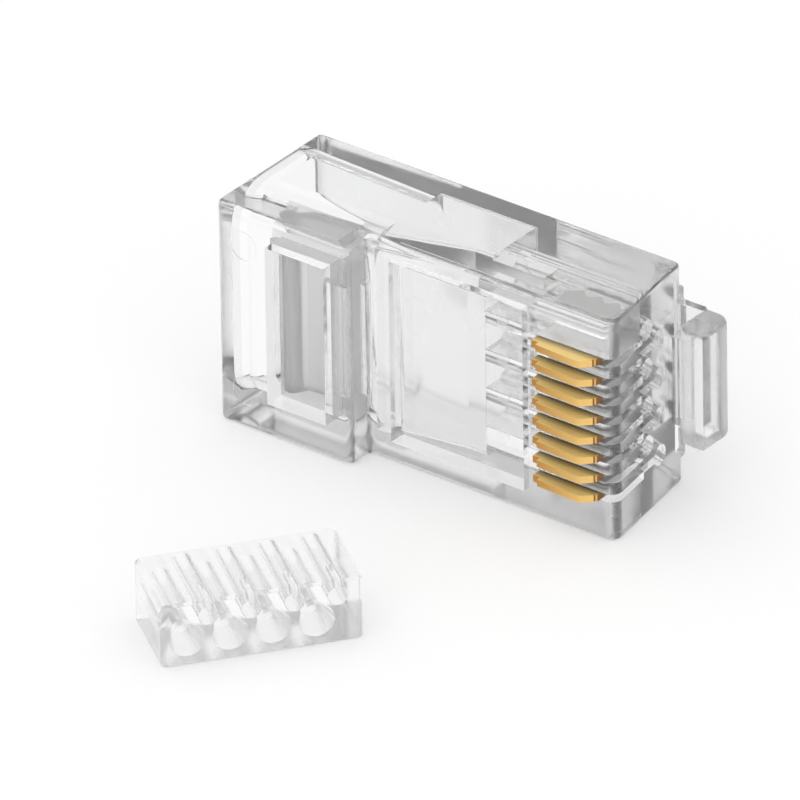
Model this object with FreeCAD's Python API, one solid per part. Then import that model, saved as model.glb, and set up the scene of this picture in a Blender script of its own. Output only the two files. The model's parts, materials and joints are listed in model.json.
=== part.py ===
import FreeCAD, Part
import math
import os

# Eight-way modular plug, lying on one narrow side, with its wire load bar beside it.
# All sizes are millimetres.  While it is being built, the plug is measured from its rear
# face (x = 0, the nose is at +x), from the contact face of its rear section (y = 0, the
# latch is at +y) and from the side it lies on (z = 0).  At the end every piece moves by
# the same step, so that the origin lies under the middle of the housing.

Vector = FreeCAD.Vector
X_AXIS = Vector(1, 0, 0)
Y_AXIS = Vector(0, 1, 0)
Z_AXIS = Vector(0, 0, 1)

# Housing, outside
plug_width = 11.68
plug_thickness = 7.9
contact_side_length = 21.9
nose_lean = 1.0
rear_section_length = 7.7
contact_step = 1.45
upright_corner_radius = 0.3
step_corner_radius = 0.35
nose_corner_radius = 0.55
rim_radius = 0.25
ejector_mark_diameter = 1.5
ejector_mark_depth = 0.03
ejector_mark_x = 1.55
ejector_mark_spacing = 7.7

# Cable space behind, then a long ramp to the load bar's seat in the middle
rear_contact_wall = 2.45
rear_latch_wall = 0.4
latch_wall = 0.7
side_wall = 0.95
entry_corner_radius = 1.3
mouth_flare = 0.3
mouth_depth = 0.8
ramp_end = 12.2
seat_depth = 1.0
seat_corner_radius = 0.3

# Shallow pocket over the load bar's seat, in the contact face
pocket_rear = 8.9
pocket_blade_distance = 0.9
pocket_side_wall = 1.05
pocket_depth = 0.9
pocket_corner_radius = 0.15

# Contacts
contact_count = 8
contact_pitch = 1.02
row_spacing = 1.1
channel_diameter = 1.05
guide_width = 1.38
guide_length = 2.9
guide_floor_y = 3.8

# Contact blades, as delivered: standing proud of the face until they are crimped
blade_thickness = 0.35
blade_slot_clearance = 0.03
blade_end_clearance = 0.08
blade_nose_distance = 4.4
blade_length = 3.52
blade_foot_length = 3.05
blade_edge_rear_y = 0.72
blade_edge_front_y = 0.58
blade_shoulder_drop = 0.24
blade_shoulder_length = 0.4
blade_nose_chamfer = 0.5
blade_nose_radius = 0.5
blade_nose_ledge = 0.12
blade_floor_clearance = 0.05
tine_count = 3
blade_travel = 1.0
tine_stop_clearance = 0.1
comb_floor_y = 4.15

# Strain relief: a window in the rear section, closed by a bar that is crimped inwards
window_rear = 2.8
window_length = 3.4
window_width = 8.3
window_undercut = 0.8
window_undercut_y = 1.65
window_undercut_margin = 1.25
relief_clearance = 0.06
relief_knuckle_radius = 0.45
relief_axis_inset = 0.15
relief_ledge_y = 1.35
relief_ledge_length = 0.3
relief_slope_length = 0.55
relief_slope_drop = 0.7
relief_front_drop = 0.95
relief_thickness = 0.6

# Latch: pedestal and root on the housing, sprung lever behind them
pedestal_length = 1.6
pedestal_low_height = 0.25
pedestal_low_width = 9.0
pedestal_high_height = 0.48
pedestal_high_width = 6.6
pedestal_radius = 0.2
root_reach = 1.15
root_length = 1.65
root_width = 6.1
root_contact_side_y = 6.65
root_latch_side_y = 9.1
root_inner_radius = 0.8
root_outer_radius = 0.85
root_rim_radius = 0.25
web_width = 4.6
web_contact_side_y = 7.0
web_anchor_depth = 0.4
lever_root_thickness = 0.4
lever_seat_clearance = 0.05
lever_flat_length = 1.15
lever_swell_length = 3.75
lever_shoulder_distance = 8.2
lever_length = 14.2
lever_angle = 12.0
lever_thickness = 1.05
lever_narrow_width = 3.25
lever_end_radius = 0.4
shoulder_corner_radius = 0.3

# Wire load bar, lying on the same surface in front of the plug
bar_clearance = 0.1
bar_length_along_wires = 4.8
bar_height = 3.25
bar_corner_radius = 0.35
bar_chamfer = 0.12
bar_upper_row_depth = 0.8
bar_hole_diameter = 0.95
bar_funnel_diameter = 1.7
bar_funnel_depth = 1.5
bar_slit_width = 0.3
bar_slit_length = 1.5
bar_centre_x = 12.9
bar_centre_y = -14.5
bar_turn = 53.0

# How far a cut runs out past the face that it opens, and how near two places count as one
overrun = 1.0
same_place = 0.02

# Places that follow from the sizes
mid_z = plug_width / 2
front_face_y = contact_step
cavity_latch_y = plug_thickness - latch_wall
cavity_width = plug_width - 2 * side_wall
seat_height = bar_height + 2 * bar_clearance
seat_contact_y = cavity_latch_y - seat_height
seat_front = ramp_end + seat_depth
row_middle_y = seat_contact_y + seat_height / 2
near_row_y = row_middle_y - row_spacing / 2
far_row_y = row_middle_y + row_spacing / 2
slot_width = blade_thickness + 2 * blade_slot_clearance
blade_rear = contact_side_length - blade_nose_distance
slot_rear = blade_rear - blade_end_clearance
pocket_front = blade_rear - pocket_blade_distance
blade_front = blade_rear + blade_length
blade_foot_front = blade_rear + blade_foot_length
well_front = blade_foot_front + blade_end_clearance
blade_body_bottom_y = comb_floor_y - blade_travel - blade_floor_clearance
window_front = window_rear + window_length
window_low_z = mid_z - window_width / 2
window_high_z = mid_z + window_width / 2
relief_axis_x = window_rear + relief_axis_inset
relief_axis_y = relief_ledge_y + relief_knuckle_radius
bar_width = cavity_width - 2 * bar_clearance
root_front = contact_side_length + root_reach
root_rear = root_front - root_length
pedestal_top = plug_thickness + pedestal_high_height
lever_axis_y = root_latch_side_y - lever_root_thickness / 2
lever_inner_y = root_latch_side_y - lever_root_thickness
lever_flat_end = root_rear - lever_flat_length
lever_rear = root_rear - lever_length
frame_shift = Vector(-contact_side_length / 2, -plug_thickness / 2, 0)


def nose_x(y):
    """The nose leans back in a straight line from the contact side to the latch side."""
    slope = nose_lean / (plug_thickness - contact_step)
    return contact_side_length - slope * (y - contact_step)


def contact_z(index):
    """Height of one contact; contact 0 is the lowest."""
    return mid_z + (index - (contact_count - 1) / 2) * contact_pitch


def in_near_row(index):
    """The wire holes lie in two rows, turn and turn about."""
    return index % 2 == 1


def row_y(index):
    return near_row_y if in_near_row(index) else far_row_y


def box(x0, x1, y0, y1, z0, z1):
    return Part.makeBox(x1 - x0, y1 - y0, z1 - z0, Vector(x0, y0, z0))


def plate(points, z0, z1):
    """A flat outline in x and y, made solid from z0 to z1."""
    corners = [Vector(x, y, z0) for x, y in points]
    outline = Part.makePolygon(corners + [corners[0]])
    return Part.Face(outline).extrude(Z_AXIS * (z1 - z0))


def upright_pin(x, y, radius, z0, z1):
    return Part.makeCylinder(radius, z1 - z0, Vector(x, y, z0), Z_AXIS)


def upright_edges(solid, places):
    """The edges parallel to z that stand at the given (x, y) places."""
    found = []
    for edge in solid.Edges:
        start, end = edge.Vertexes[0].Point, edge.Vertexes[-1].Point
        across = math.hypot(start.x - end.x, start.y - end.y)
        if abs(start.z - end.z) < same_place or across > same_place:
            continue
        if any(math.hypot(start.x - x, start.y - y) < same_place for x, y in places):
            found.append(edge)
    return found


def edges_at_height(solid, heights):
    """The edges that lie flat at any of the given heights."""
    found = []
    for edge in solid.Edges:
        bounds = edge.BoundBox
        if any(max(abs(bounds.ZMin - z), abs(bounds.ZMax - z)) < same_place for z in heights):
            found.append(edge)
    return found


def rounded_section(x, y0, y1, width, radius):
    """A rounded rectangle across the plug, centred on its middle height."""
    z0, z1 = mid_z - width / 2, mid_z + width / 2
    block = box(x, x + overrun, y0, y1, z0, z1)
    long_edges = [e for e in block.Edges if e.BoundBox.XLength > overrun / 2]
    rounded = block.makeFillet(radius, long_edges)
    end_face = min(rounded.Faces, key=lambda face: face.CenterOfMass.x)
    return end_face.OuterWire


def housing_blank():
    """The outer form, with rounded corners and rims."""
    step = (rear_section_length, front_face_y)
    outer_step = (rear_section_length, 0.0)
    nose = (nose_x(front_face_y), front_face_y)
    latch_nose = (nose_x(plug_thickness), plug_thickness)
    rear = [(0.0, 0.0), (0.0, plug_thickness)]
    solid = plate([rear[0], outer_step, step, nose, latch_nose, rear[1]], 0.0, plug_width)
    solid = solid.makeFillet(upright_corner_radius, upright_edges(solid, rear + [latch_nose]))
    solid = solid.makeFillet(step_corner_radius, upright_edges(solid, [step, outer_step]))
    solid = solid.makeFillet(nose_corner_radius, upright_edges(solid, [nose]))
    return solid.makeFillet(rim_radius, edges_at_height(solid, [0.0, plug_width]))


def cable_space():
    """A flared mouth and a rounded throat, then a square ramp down to the load bar's seat."""
    throat_latch_y = plug_thickness - rear_latch_wall
    mouth = rounded_section(
        0.0, rear_contact_wall - mouth_flare, throat_latch_y,
        cavity_width + 2 * mouth_flare, entry_corner_radius + mouth_flare)
    throat_start = rounded_section(
        mouth_depth, rear_contact_wall, throat_latch_y, cavity_width, entry_corner_radius)
    throat_end = rounded_section(
        rear_section_length, rear_contact_wall, cavity_latch_y, cavity_width, entry_corner_radius)
    ramp_start = rounded_section(
        rear_section_length, rear_contact_wall, cavity_latch_y, cavity_width, seat_corner_radius)
    seat_start, seat_end = (
        rounded_section(x, seat_contact_y, cavity_latch_y, cavity_width, seat_corner_radius)
        for x in (ramp_end, seat_front))
    return [Part.makeLoft([start, end], True, True) for start, end in (
        (mouth, throat_start), (throat_start, throat_end), (ramp_start, seat_start),
        (seat_start, seat_end))]


def wire_channels():
    """Eight blind round holes in two staggered rows, which start in square guides."""
    holes = []
    for index in range(contact_count):
        y, z = row_y(index), contact_z(index)
        holes.append(Part.makeCylinder(
            channel_diameter / 2, blade_foot_front - seat_front, Vector(seat_front, y, z), X_AXIS))
        if in_near_row(index):
            holes.append(box(seat_front, seat_front + guide_length, guide_floor_y, y,
                             z - guide_width / 2, z + guide_width / 2))
    return holes


def contact_slots():
    """Narrow slots that make the comb at the nose, each with a well down to its wire."""
    slots = []
    for index in range(contact_count):
        z0 = contact_z(index) - slot_width / 2
        z1 = z0 + slot_width
        slots.append(box(slot_rear, contact_side_length + overrun, 0.0, comb_floor_y, z0, z1))
        slots.append(box(slot_rear, well_front, 0.0, row_y(index), z0, z1))
    return slots


def face_pocket():
    """The shallow pocket over the load bar's seat, its floor still closed."""
    floor_y = front_face_y + pocket_depth
    pocket = box(pocket_rear, pocket_front, 0.0, floor_y,
                 pocket_side_wall, plug_width - pocket_side_wall)
    floor_ends = [(pocket_rear, floor_y), (pocket_front, floor_y)]
    return pocket.makeFillet(pocket_corner_radius, upright_edges(pocket, floor_ends))


def strain_relief_window():
    """The opening for the bar, the seat for its knuckle and an undercut at its free end."""
    inner_y = rear_contact_wall + overrun
    opening = box(window_rear, window_front, -overrun, inner_y, window_low_z, window_high_z)
    seat = upright_pin(relief_axis_x, relief_axis_y, relief_knuckle_radius + relief_clearance,
                       window_low_z, window_high_z)
    undercut = box(window_front, window_front + window_undercut, window_undercut_y, inner_y,
                   window_low_z + window_undercut_margin, window_high_z - window_undercut_margin)
    return [opening, seat, undercut]


def ejector_marks():
    """Two round marks beside the window, where pins pushed the moulding out."""
    marks = []
    for side in (-1, 1):
        centre = Vector(ejector_mark_x, -overrun, mid_z + side * ejector_mark_spacing / 2)
        marks.append(Part.makeCylinder(
            ejector_mark_diameter / 2, overrun + ejector_mark_depth, centre, Y_AXIS))
    return marks


def latch_pedestal():
    """Two raised steps on the latch side, near the nose, that carry the latch root."""
    steps = []
    base_y = plug_thickness - latch_wall / 2
    for height, width in ((pedestal_low_height, pedestal_low_width),
                          (pedestal_high_height, pedestal_high_width)):
        top_y = plug_thickness + height
        top_rear = nose_x(top_y) - pedestal_length + height
        outline = [(top_rear - height, base_y), (nose_x(base_y), base_y),
                   (nose_x(top_y), top_y), (top_rear, top_y)]
        low_z, high_z = mid_z - width / 2, mid_z + width / 2
        step = plate(outline, low_z, high_z)
        top_edges = [e for e in edges_at_height(step, [low_z, high_z])
                     if e.BoundBox.YMin > top_y - same_place]
        steps.append(step.makeFillet(pedestal_radius, top_edges))
    return steps


def latch_root():
    """The block in front of the nose that the lever springs from, and the web behind it."""
    low_z, high_z = mid_z - root_width / 2, mid_z + root_width / 2
    inner_corner = (root_rear, root_contact_side_y)
    outer_corner = (root_front, root_latch_side_y)
    outline = [inner_corner, (root_front, root_contact_side_y),
               outer_corner, (root_rear, root_latch_side_y)]
    block = plate(outline, low_z, high_z)
    block = block.makeFillet(root_inner_radius, upright_edges(block, [inner_corner]))
    block = block.makeFillet(root_outer_radius, upright_edges(block, [outer_corner]))
    block = block.makeFillet(root_rim_radius, edges_at_height(block, [low_z, high_z]))
    web_latch_side_y = pedestal_top - pedestal_radius
    web = box(nose_x(web_latch_side_y) - web_anchor_depth, root_rear + root_inner_radius,
              web_contact_side_y, web_latch_side_y, mid_z - web_width / 2, mid_z + web_width / 2)
    seat = upright_pin(root_rear, lever_axis_y, lever_root_thickness / 2 + lever_seat_clearance,
                       low_z, high_z)
    return block.fuse(web).cut(seat)


def make_housing():
    solid = housing_blank()
    solid = solid.fuse(latch_pedestal() + [latch_root()])
    solid = solid.cut(cable_space())
    solid = solid.cut(strain_relief_window() + ejector_marks() + [face_pocket()])
    solid = solid.cut(wire_channels())
    solid = solid.cut(contact_slots())
    return solid.removeSplitter()


def lever_inner_line_y(x):
    """Inside of the lever behind its flat root."""
    return lever_inner_y + (lever_flat_end - x) * math.tan(math.radians(lever_angle))


def lever_outer_line_y(x):
    """Outside of the lever where it is thickest."""
    return lever_inner_line_y(x) + lever_thickness / math.cos(math.radians(lever_angle))


def make_latch_lever():
    """A thin root that swells into the locking part, then the narrow thumb lever."""
    low_z, high_z = mid_z - root_width / 2, mid_z + root_width / 2
    swell_end = root_rear - lever_swell_length
    end_inner = (lever_rear, lever_inner_line_y(lever_rear))
    end_outer = (lever_rear, lever_outer_line_y(lever_rear))
    side_view = [(root_rear, lever_inner_y), (root_rear, root_latch_side_y),
                 (lever_flat_end, root_latch_side_y), (swell_end, lever_outer_line_y(swell_end)),
                 end_outer, end_inner, (lever_flat_end, lever_inner_y)]
    body = plate(side_view, low_z, high_z)
    body = body.makeFillet(lever_end_radius, upright_edges(body, [end_inner, end_outer]))
    knuckle = upright_pin(root_rear, lever_axis_y, lever_root_thickness / 2, low_z, high_z)
    return body.fuse(knuckle).cut(lever_side_cuts()).removeSplitter()


def lever_side_cuts():
    """What is cut away on both sides of the thumb lever, up to the locking shoulders."""
    shoulder_x = contact_side_length - lever_shoulder_distance
    cuts = []
    for side in (-1, 1):
        near, far = mid_z + side * lever_narrow_width / 2, mid_z + side * plug_width / 2
        beside = box(lever_rear - overrun, shoulder_x, 0.0,
                     lever_outer_line_y(lever_rear) + overrun, min(near, far), max(near, far))
        inner_corner = [e for e in beside.Edges
                        if abs(e.BoundBox.XMin - shoulder_x) < same_place
                        and max(abs(v.Point.z - near) for v in e.Vertexes) < same_place]
        cuts.append(beside.makeFillet(shoulder_corner_radius, inner_corner))
    return cuts


def make_strain_relief_bar():
    """A ledge by the knuckle, a slope, and a flat end that presses on the cable jacket."""
    low_z, high_z = window_low_z + relief_clearance, window_high_z - relief_clearance
    front = window_front - 2 * relief_clearance
    front_y = relief_ledge_y + relief_front_drop
    ledge_end = window_rear + relief_ledge_length
    slope_end = (ledge_end + relief_slope_length, relief_ledge_y + relief_slope_drop)
    inner_y = relief_axis_y + relief_knuckle_radius
    outline = [(relief_axis_x, relief_ledge_y), (ledge_end, relief_ledge_y), slope_end,
               (front, front_y), (front, front_y + relief_thickness),
               (slope_end[0], slope_end[1] + relief_thickness),
               (ledge_end, inner_y), (relief_axis_x, inner_y)]
    bar = plate(outline, low_z, high_z)
    knuckle = upright_pin(relief_axis_x, relief_axis_y, relief_knuckle_radius, low_z, high_z)
    return bar.fuse(knuckle).removeSplitter()


def make_contact_blade(index):
    """A stamped blade: shouldered contact edge, chamfered nose, three tines on the wire."""
    tip_y = row_y(index) + channel_diameter / 2 - tine_stop_clearance - blade_travel
    tine_width = blade_foot_length / tine_count
    shoulder_end = blade_rear + blade_shoulder_length
    edge_front = blade_front - blade_nose_ledge - blade_nose_chamfer
    chamfer_end = (blade_front - blade_nose_ledge, blade_edge_front_y + blade_nose_chamfer)
    ledge_y = chamfer_end[1] + blade_nose_ledge
    outline = [(blade_rear, blade_edge_rear_y + blade_shoulder_drop),
               (shoulder_end, blade_edge_rear_y + blade_shoulder_drop),
               (shoulder_end, blade_edge_rear_y), (edge_front, blade_edge_front_y),
               chamfer_end, (chamfer_end[0], ledge_y), (blade_front, ledge_y),
               (blade_front, blade_body_bottom_y), (blade_foot_front, blade_body_bottom_y)]
    valley_y = tip_y - tine_width / 2
    for tine in range(tine_count):
        tip_x = blade_foot_front - (tine + 0.5) * tine_width
        outline.append((tip_x + 0.5 * tine_width, valley_y))
        outline.append((tip_x, tip_y))
    outline.append((blade_rear, valley_y))
    z0 = contact_z(index) - blade_thickness / 2
    blade = plate(outline, z0, z0 + blade_thickness)
    return blade.makeFillet(
        blade_nose_radius, upright_edges(blade, [(edge_front, blade_edge_front_y)]))


def make_load_bar():
    """Four wire holes with funnels, and four more above them that are slit to the top."""
    half_width, half_length = bar_width / 2, bar_length_along_wires / 2
    bar = box(-half_width, half_width, -half_length, half_length, 0.0, bar_height)
    corners = [(x, y) for x in (-half_width, half_width) for y in (-half_length, half_length)]
    bar = bar.makeFillet(bar_corner_radius, upright_edges(bar, corners))
    bar = bar.makeChamfer(bar_chamfer, edges_at_height(bar, [0.0, bar_height]))
    cuts = []
    for index in range(contact_count):
        upper = in_near_row(index)
        height = bar_height - bar_upper_row_depth - (0.0 if upper else row_spacing)
        mouth = Vector(contact_z(index) - mid_z, -half_length, height)
        cuts.append(Part.makeCylinder(
            bar_hole_diameter / 2, bar_length_along_wires, mouth, Y_AXIS))
        if upper:
            cuts.append(box(mouth.x - bar_slit_width / 2, mouth.x + bar_slit_width / 2,
                            mouth.y, mouth.y + bar_slit_length, height, bar_height + overrun))
        else:
            cuts.append(Part.makeCone(bar_funnel_diameter / 2, bar_hole_diameter / 2,
                                      bar_funnel_depth, mouth, Y_AXIS))
    bar = bar.cut(cuts).removeSplitter()
    bar.rotate(Vector(0, 0, 0), Z_AXIS, bar_turn)
    bar.translate(Vector(bar_centre_x, bar_centre_y, 0))
    return bar


def write_piece(name, shape):
    """Move a finished piece into the part's frame and write it as one solid."""
    if len(shape.Solids) != 1 or not shape.isValid():
        raise ValueError(name + " is not one valid solid")
    solid = shape.Solids[0]
    solid.translate(frame_shift)
    solid.exportStep("parts/" + name + ".step")
    print(name, "volume", round(solid.Volume, 3), "mm3")


def main():
    os.makedirs("parts", exist_ok=True)
    write_piece("housing", make_housing())
    write_piece("latch_lever", make_latch_lever())
    write_piece("strain_relief_bar", make_strain_relief_bar())
    for index in range(contact_count):
        write_piece("contact_blade_" + str(index + 1), make_contact_blade(index))
    write_piece("load_bar", make_load_bar())


main()
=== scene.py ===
"""Looks of the modular plug: clear polycarbonate, gold-plated contacts, pale studio floor."""

import json
import math
from collections import namedtuple

import bpy
from mathutils import Matrix, Vector


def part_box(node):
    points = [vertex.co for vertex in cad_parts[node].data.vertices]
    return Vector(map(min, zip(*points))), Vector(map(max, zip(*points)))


MM = 0.001
UP = Vector((0.0, 0.0, 1.0))
EVERY_WAY = Vector((1.0, 1.0, 1.0))
WHITE = (1.0, 1.0, 1.0, 1.0)
BLACK = (0.0, 0.0, 0.0, 1.0)

# Camera: a long lens, seen from the nose side and above
CAMERA_AZIMUTH = math.radians(37.78)
CAMERA_ELEVATION = math.radians(29.77)
CAMERA_ROLL = math.radians(-0.93)
CAMERA_DISTANCE = 1049 * MM
CAMERA_TARGET = Vector((0.05, 0.2, 5.84)) * MM
CAMERA_SLIDE_RIGHT = -2.877 * MM
CAMERA_SLIDE_UP = -2.644 * MM
CAMERA_NEAREST = 0.01
CAMERA_FARTHEST = 10.0
PICTURE_SIDE = 800
FOCAL_PIXELS = 22715
SENSOR = 36.0

# Lamp: soft and nearly overhead
LAMP_AZIMUTH = math.radians(-60)
LAMP_ELEVATION = math.radians(78)
LAMP_DISTANCE = 0.5
LAMP_SIDE = 0.45
LAMP_POWER = 0.35

# Light tent: a card's level, and how squarely a ray meets it where it fades in and is full
Card = namedtuple("Card", "level start full")
SIDE_CARD = Card(level=0.35, start=0.6, full=0.95)
BACK_CARD = Card(level=0.62, start=0.5, full=0.85)
FRONT_CARD = Card(level=1.4, start=0.3, full=0.9)
TENT_LEVEL = 0.98

# Floor, with what lifts it towards white for the rays that look at it
FLOOR_HALF_SIDE = 0.9
FLOOR_DROP = 0.01 * MM
FLOOR_ROUGHNESS = 0.9
FLOOR_COLOUR = (0.64, 0.64, 0.64, 1.0)
FLOOR_BEHIND_PLASTIC = (0.1, 0.1, 0.1, 1.0)
FLOOR_LIFT = 0.36
MORE_BEHIND_PLASTIC = 0.56

# Surface patterns in the object's own coordinates, and how deep the two that show as relief are
Pattern = namedtuple("Pattern", "scale detail stretch")
CLOUD = Pattern(scale=420.0, detail=3.0, stretch=EVERY_WAY)
MOULD_FLOW = Pattern(scale=160.0, detail=1.0, stretch=(0.4, 1.0, 1.0))
MOULD_FLOW_DEPTH = 0.02 * MM
MOULD_FLOW_STRENGTH = 0.5
ROLLED_LINES = Pattern(scale=900.0, detail=4.0, stretch=(0.15, 1.0, 1.0))
ROLLED_LINES_DEPTH = 0.004 * MM
ROLLED_LINES_STRENGTH = 0.4

# Clear plastics: clarity is the share that passes light on, roughness that of a polished face
Plastic = namedtuple("Plastic", "name tint clarity ior roughness")
MOULDING = Plastic(name="clear_moulding", tint=(0.992, 0.993, 0.994, 1.0),
                   clarity=0.94, ior=1.5, roughness=(0.01, 0.05))
LOAD_BAR = Plastic(name="clear_load_bar", tint=(0.97, 0.97, 0.97, 1.0),
                   clarity=1.0, ior=1.25, roughness=(0.18, 0.26))

# Satin places in the moulding: the least and most roughness that each adds, and how much painted
# grey shade it gets
Finish = namedtuple("Finish", "least most shade")
# The window's recess is painted grey here as shade, on top of its satin
WINDOW_SATIN_AND_PAINTED_SHADE = Finish(least=0.45, most=0.55, shade=0.12)
REAR_WALL_FINISH = Finish(least=0.2, most=0.3, shade=0.0)
RAMP_FINISH = Finish(least=0.12, most=0.2, shade=0.0)
COMB_FINISH = Finish(least=0.03, most=0.06, shade=0.0)
NOSE_FINISH = Finish(least=0.14, most=0.24, shade=0.0)
UPPER_WALL_FINISH = Finish(least=0.04, most=0.08, shade=0.0)
# The rear and lower rims are painted grey here as shade along the edges, on top of their satin
REAR_RIM_SATIN_AND_PAINTED_SHADE = Finish(least=0.08, most=0.14, shade=0.15)
LOWER_RIM_SATIN_AND_PAINTED_SHADE = Finish(least=0.07, most=0.12, shade=0.12)
LATCH_FINISH = Finish(least=0.1, most=0.16, shade=0.0)

# Where the satin places and their painted shade lie: each is a box in the housing's coordinates
Patch = namedtuple("Patch", "low high finish")
WINDOW_MARGIN = 0.3 * MM
CORE_MARGIN = 0.35 * MM
NOSE_MARGIN = 0.5 * MM
OUTER_MARGIN = 1.0 * MM
SKIN = 0.05 * MM
RIM_WIDTH = 0.4 * MM
LATCH_FACE_Y = 4.0 * MM
CORE_LATCH_Y = 3.4 * MM
CORE_RAMP_LOW_Y = -1.48 * MM
CORE_RAMP_HIGH_Y = -0.1 * MM

# Contacts: depths are from the contact edge inwards, and the nose is what faces forwards
GOLD = (1.0, 0.74, 0.27, 1.0)
# Painted shade: cut edges darker towards the rear, the forward nose facet dark brown, flat sides
# dark by the comb
GOLD_EDGE_SHADED_REAR = (0.55, 0.25, 0.04, 1.0)
GOLD_EDGE_SHADED_FRONT = (1.0, 0.64, 0.2, 1.0)
GOLD_NOSE_PAINTED_SHADE = (0.3, 0.13, 0.03, 1.0)
GOLD_ROOT_PAINTED_SHADE = (0.06, 0.045, 0.035, 1.0)
NICKEL = (0.72, 0.71, 0.7, 1.0)
NOSE_TURN_START = 0.8
NOSE_TURN_END = 0.95
# Where the painted shade on the flat sides starts and is full, from the contact edge inwards
ROOT_SHADE_START = 0.4 * MM
ROOT_SHADE_END = 0.95 * MM
GOLD_DEPTH = 1.35 * MM
GOLD_FADE = 0.3 * MM
GOLD_METALLIC = 0.15
GOLD_ROUGHNESS = (0.3, 0.45)

# The colour sockets of a Mix node share their names with its other sockets, so they go by number
MIX_FIRST = 6
MIX_SECOND = 7
MIX_RESULT = 2


def direction(azimuth, elevation):
    """The unit vector towards a place around the object; azimuth 0 is -y and turns towards +x."""
    return Vector((math.sin(azimuth) * math.cos(elevation),
                   -math.cos(azimuth) * math.cos(elevation),
                   math.sin(elevation)))


def add_object(name, data):
    """Put a new object into the scene."""
    thing = bpy.data.objects.new(name, data)
    bpy.context.scene.collection.objects.link(thing)
    return thing


def make_camera():
    """The camera stands where the photograph was taken from."""
    back = direction(CAMERA_AZIMUTH, CAMERA_ELEVATION)
    right = UP.cross(back).normalized()
    up = back.cross(right)
    turned_right = right * math.cos(CAMERA_ROLL) + up * math.sin(CAMERA_ROLL)
    turned_up = back.cross(turned_right)
    data = bpy.data.cameras.new("camera")
    data.sensor_width = SENSOR
    data.lens = FOCAL_PIXELS / PICTURE_SIDE * SENSOR
    data.clip_start = CAMERA_NEAREST
    data.clip_end = CAMERA_FARTHEST
    camera = add_object("camera", data)
    camera.location = (CAMERA_TARGET + back * CAMERA_DISTANCE
                       + right * CAMERA_SLIDE_RIGHT + up * CAMERA_SLIDE_UP)
    camera.rotation_euler = Matrix((turned_right, turned_up, back)).transposed().to_euler()
    bpy.context.scene.camera = camera


def make_lamp():
    """A soft square lamp that faces the middle of the object."""
    data = bpy.data.lights.new("key", "AREA")
    data.shape = "SQUARE"
    data.size = LAMP_SIDE
    data.energy = LAMP_POWER
    lamp = add_object("key", data)
    toward = direction(LAMP_AZIMUTH, LAMP_ELEVATION)
    lamp.location = CAMERA_TARGET + toward * LAMP_DISTANCE
    lamp.rotation_euler = toward.to_track_quat("Z", "Y").to_euler()


def feed(tree, socket, value):
    """Give an input its value: a number, a colour or another node's output."""
    if isinstance(value, bpy.types.NodeSocket):
        tree.links.new(value, socket)
    else:
        socket.default_value = value


def math_node(tree, operation, *values):
    """One step of arithmetic on numbers or outputs."""
    node = tree.nodes.new("ShaderNodeMath")
    node.operation = operation
    for socket, value in zip(node.inputs, values):
        feed(tree, socket, value)
    return node.outputs["Value"]


def product(tree, first, *others):
    """All the values multiplied."""
    for other in others:
        first = math_node(tree, "MULTIPLY", first, other)
    return first


def map_range(tree, value, start=0.0, end=1.0, low=0.0, high=1.0, fade="LINEAR"):
    """Low up to the start, high from the end on, and a fade between them."""
    node = tree.nodes.new("ShaderNodeMapRange")
    node.interpolation_type = fade
    tree.links.new(value, node.inputs["Value"])
    node.inputs["From Min"].default_value = start
    node.inputs["From Max"].default_value = end
    node.inputs["To Min"].default_value = low
    node.inputs["To Max"].default_value = high
    return node.outputs["Result"]


def vector_node(tree, operation, *values):
    """One step of arithmetic on vectors."""
    node = tree.nodes.new("ShaderNodeVectorMath")
    node.operation = operation
    for socket, value in zip(node.inputs, values):
        feed(tree, socket, value)
    return node.outputs


def axes(tree, vector):
    """The X, Y and Z of a vector."""
    node = tree.nodes.new("ShaderNodeSeparateXYZ")
    tree.links.new(vector, node.inputs["Vector"])
    return node.outputs


def blend(tree, factor, first, second):
    """Mix two colours, each a value or an output."""
    mix = tree.nodes.new("ShaderNodeMix")
    mix.data_type = "RGBA"
    tree.links.new(factor, mix.inputs["Factor"])
    feed(tree, mix.inputs[MIX_FIRST], first)
    feed(tree, mix.inputs[MIX_SECOND], second)
    return mix.outputs[MIX_RESULT]


def noise(tree, pattern):
    """A pattern's noise, from 0 to 1."""
    place = tree.nodes.new("ShaderNodeTexCoord")
    mapping = tree.nodes.new("ShaderNodeMapping")
    mapping.inputs["Scale"].default_value = pattern.stretch
    texture = tree.nodes.new("ShaderNodeTexNoise")
    texture.inputs["Scale"].default_value = pattern.scale
    texture.inputs["Detail"].default_value = pattern.detail
    tree.links.new(place.outputs["Object"], mapping.inputs["Vector"])
    tree.links.new(mapping.outputs["Vector"], texture.inputs["Vector"])
    return texture.outputs["Fac"]


def inside_box(tree, low, high):
    """1 inside a box of the object's own coordinates and 0 outside it."""
    place = tree.nodes.new("ShaderNodeTexCoord").outputs["Object"]
    from_middle = vector_node(tree, "SUBTRACT", place, (low + high) / 2)["Vector"]
    distance = axes(tree, vector_node(tree, "ABSOLUTE", from_middle)["Vector"])
    return product(tree, *(math_node(tree, "LESS_THAN", distance[axis], reach)
                           for axis, reach in zip("XYZ", (high - low) / 2)))


def new_material(name):
    """A material with its node tree and its main shader."""
    material = bpy.data.materials.new(name)
    material.use_nodes = True
    tree = material.node_tree
    return material, tree, tree.nodes["Principled BSDF"]


def add_bump(tree, shader, height, depth, strength):
    """Let a pattern show as shallow relief."""
    bump = tree.nodes.new("ShaderNodeBump")
    bump.inputs["Distance"].default_value = depth
    bump.inputs["Strength"].default_value = strength
    tree.links.new(height, bump.inputs["Height"])
    tree.links.new(bump.outputs["Normal"], shader.inputs["Normal"])


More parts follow.
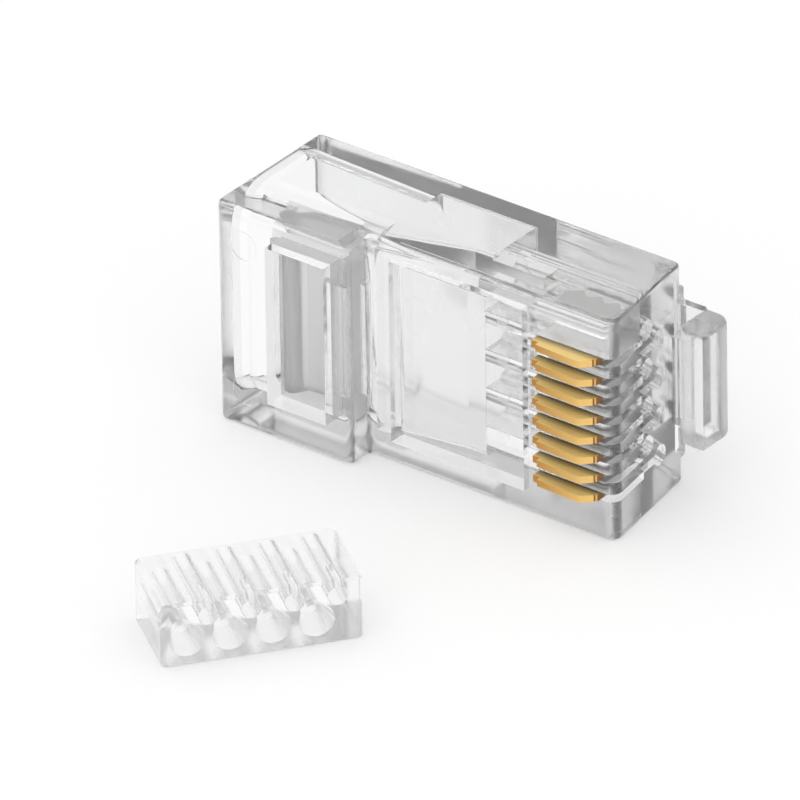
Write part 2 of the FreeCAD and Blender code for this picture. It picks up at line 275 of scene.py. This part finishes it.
def clear_plastic(plastic, patches=()):
    """Clear moulded plastic: polished, and satin where the mould was left so, with painted grey
    shade in some of those places.
    """
    material, tree, shader = new_material(plastic.name)
    shader.inputs["Base Color"].default_value = plastic.tint
    shader.inputs["Transmission Weight"].default_value = plastic.clarity
    shader.inputs["IOR"].default_value = plastic.ior
    cloud = noise(tree, CLOUD)
    least, most = plastic.roughness
    roughness = map_range(tree, cloud, low=least, high=most)
    grey = 0.0
    for low, high, finish in patches:
        inside = inside_box(tree, low, high)
        satin = map_range(tree, cloud, low=finish.least, high=finish.most)
        roughness = math_node(tree, "ADD", roughness, product(tree, inside, satin))
        # Painted shade: greys the plastic's tint inside the box by the patch's shade value
        grey = math_node(tree, "ADD", product(tree, inside, finish.shade), grey)
    tree.links.new(roughness, shader.inputs["Roughness"])
    if patches:
        tree.links.new(blend(tree, grey, plastic.tint, BLACK), shader.inputs["Base Color"])
    add_bump(tree, shader, noise(tree, MOULD_FLOW), MOULD_FLOW_DEPTH, MOULD_FLOW_STRENGTH)
    return material


def satin_and_shade_patches():
    """The window, two cored walls, the comb, nose and upper wall, two rims and the latch side.

    A box that takes in outer faces reaches past them, and one for inner walls stops short of them.
    The window and the two rims are also painted grey there, as painted shade.
    """
    low, high = map(Vector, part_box("housing"))
    inner_low, inner_high = low + EVERY_WAY * SKIN, high - EVERY_WAY * SKIN
    outer_low, outer_high = low - EVERY_WAY * OUTER_MARGIN, high + EVERY_WAY * OUTER_MARGIN
    window_low, window_high = map(Vector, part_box("strain_relief_bar"))
    blade_low, blade_high = map(Vector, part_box("contact_blade_8"))
    lever_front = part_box("latch_lever")[1][0]
    blade_rear = blade_low.x
    nose_rear = blade_high.x + NOSE_MARGIN
    return [
        # The window's recess: satin, and painted grey as shade
        Patch(window_low - EVERY_WAY * WINDOW_MARGIN, window_high + EVERY_WAY * WINDOW_MARGIN,
              WINDOW_SATIN_AND_PAINTED_SHADE),
        Patch(Vector((inner_low.x, CORE_LATCH_Y - CORE_MARGIN, inner_low.z)),
              Vector((blade_rear, CORE_LATCH_Y + CORE_MARGIN, inner_high.z)),
              REAR_WALL_FINISH),
        Patch(Vector((window_high.x + WINDOW_MARGIN, CORE_RAMP_LOW_Y, inner_low.z)),
              Vector((blade_rear, CORE_RAMP_HIGH_Y, inner_high.z)),
              RAMP_FINISH),
        Patch(Vector((blade_rear - OUTER_MARGIN, outer_low.y, outer_low.z)),
              Vector((lever_front + OUTER_MARGIN, outer_high.y, outer_high.z)),
              COMB_FINISH),
        Patch(Vector((nose_rear, outer_low.y, outer_low.z)), outer_high, NOSE_FINISH),
        Patch(Vector((blade_rear - NOSE_MARGIN, outer_low.y, blade_high.z)),
              Vector((nose_rear + OUTER_MARGIN, outer_high.y, outer_high.z)),
              UPPER_WALL_FINISH),
        # The rear and lower rims: satin, and painted grey as shade along them
        Patch(outer_low, Vector((low.x + RIM_WIDTH, outer_high.y, outer_high.z)),
              REAR_RIM_SATIN_AND_PAINTED_SHADE),
        Patch(outer_low, Vector((outer_high.x, outer_high.y, low.z + RIM_WIDTH)),
              LOWER_RIM_SATIN_AND_PAINTED_SHADE),
        Patch(Vector((outer_low.x, LATCH_FACE_Y, outer_low.z)), outer_high, LATCH_FINISH),
    ]


def gold_plate_with_painted_shade():
    """Gold with painted shade: darker cut edges and nose, dark where it enters the comb; bare
    nickel behind.
    """
    material, tree, shader = new_material("gold_plate_with_painted_shade")
    low, high = map(Vector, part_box("contact_blade_1"))
    place = tree.nodes.new("ShaderNodeTexCoord")
    along = axes(tree, place.outputs["Object"])
    outward = axes(tree, place.outputs["Normal"])
    # Painted shade on the cut edges, darker towards the rear
    edge_shade_fade = map_range(tree, along["X"], low.x, high.x)
    edge = blend(tree, edge_shade_fade, GOLD_EDGE_SHADED_REAR, GOLD_EDGE_SHADED_FRONT)
    # Painted shade on the nose facet, where a face points forwards
    nose = map_range(tree, outward["X"], NOSE_TURN_START, NOSE_TURN_END)
    edge = blend(tree, nose, edge, GOLD_NOSE_PAINTED_SHADE)
    # Painted shade on the flat sides, dark where they enter the comb
    root_shade = map_range(tree, along["Y"], low.y + ROOT_SHADE_START, low.y + ROOT_SHADE_END)
    side = blend(tree, root_shade, GOLD, GOLD_ROOT_PAINTED_SHADE)
    # Flat sides take the side colour and cut edges the edge colour by which way a face points:
    # painted shade
    gold = blend(tree, math_node(tree, "ABSOLUTE", outward["Z"]), edge, side)
    gold_end = low.y + GOLD_DEPTH
    buried = map_range(tree, along["Y"], gold_end - GOLD_FADE, gold_end)
    tree.links.new(blend(tree, buried, gold, NICKEL), shader.inputs["Base Color"])
    shader.inputs["Metallic"].default_value = GOLD_METALLIC
    lines = noise(tree, ROLLED_LINES)
    least, most = GOLD_ROUGHNESS
    tree.links.new(map_range(tree, lines, low=least, high=most), shader.inputs["Roughness"])
    add_bump(tree, shader, lines, ROLLED_LINES_DEPTH, ROLLED_LINES_STRENGTH)
    return material


def dress_nodes(frame):
    """Each CAD piece gets its finish by its material slot in the record."""
    finishes = {
        "clear_moulding": clear_plastic(MOULDING, satin_and_shade_patches()),
        "clear_load_bar": clear_plastic(LOAD_BAR),
        "gold_contact": gold_plate_with_painted_shade(),
    }
    for subpart in frame["record"]["subparts"]:
        mesh = frame["nodes"][subpart["node"]].data
        mesh.materials.clear()
        mesh.materials.append(finishes[subpart["material_slot"]])


def make_floor():
    """A pale floor with a soft shadow, which shows nearly white through the clear plastic.

    A ray that comes through the plastic counts as glossy too, so it gets both lifts.
    """
    mesh = bpy.data.meshes.new("floor")
    side = FLOOR_HALF_SIDE
    mesh.from_pydata([(-side, -side, 0), (side, -side, 0), (side, side, 0), (-side, side, 0)],
                     [], [(0, 1, 2, 3)])
    floor = add_object("floor", mesh)
    floor.location.z = -FLOOR_DROP
    material, tree, shader = new_material("floor")
    ray = tree.nodes.new("ShaderNodeLightPath").outputs
    through = ray["Is Transmission Ray"]
    colour = blend(tree, through, FLOOR_COLOUR, FLOOR_BEHIND_PLASTIC)
    tree.links.new(colour, shader.inputs["Base Color"])
    seen = math_node(tree, "MAXIMUM", ray["Is Camera Ray"], ray["Is Glossy Ray"])
    lift = math_node(tree, "ADD", product(tree, seen, FLOOR_LIFT),
                     product(tree, through, MORE_BEHIND_PLASTIC))
    shader.inputs["Emission Color"].default_value = WHITE
    tree.links.new(lift, shader.inputs["Emission Strength"])
    shader.inputs["Roughness"].default_value = FLOOR_ROUGHNESS
    shader.inputs["Specular IOR Level"].default_value = 0.0
    mesh.materials.append(material)


def card_level(tree, facing, card):
    """1 away from a card of the tent, fading to the card's own level in front of it."""
    return map_range(tree, facing, card.start, card.full, 1.0, card.level, fade="SMOOTHSTEP")


def make_world():
    """A light tent: grey cards at the two sides, a dimmer back and a brighter front."""
    world = bpy.data.worlds.new("studio")
    world.use_nodes = True
    tree = world.node_tree
    ray = tree.nodes.new("ShaderNodeTexCoord").outputs["Generated"]
    front = direction(CAMERA_AZIMUTH, 0.0)
    sideways, backwards, forwards = (
        vector_node(tree, "DOT_PRODUCT", ray, middle)["Value"]
        for middle in (UP.cross(front), -front, front))
    level = product(tree,
                    card_level(tree, math_node(tree, "ABSOLUTE", sideways), SIDE_CARD),
                    card_level(tree, backwards, BACK_CARD),
                    card_level(tree, forwards, FRONT_CARD),
                    TENT_LEVEL)
    background = tree.nodes["Background"]
    background.inputs["Color"].default_value = WHITE
    tree.links.new(level, background.inputs["Strength"])
    bpy.context.scene.world = world


bpy.context.scene.view_settings.view_transform = "Standard"
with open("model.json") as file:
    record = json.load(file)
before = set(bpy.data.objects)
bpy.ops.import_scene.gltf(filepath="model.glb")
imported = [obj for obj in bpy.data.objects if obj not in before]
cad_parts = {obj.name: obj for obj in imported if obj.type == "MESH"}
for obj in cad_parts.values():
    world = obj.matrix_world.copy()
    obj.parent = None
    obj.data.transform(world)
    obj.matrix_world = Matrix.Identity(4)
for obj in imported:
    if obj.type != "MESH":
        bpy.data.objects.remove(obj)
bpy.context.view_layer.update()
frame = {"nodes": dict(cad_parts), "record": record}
make_camera()
make_world()
make_lamp()
make_floor()
dress_nodes(frame)
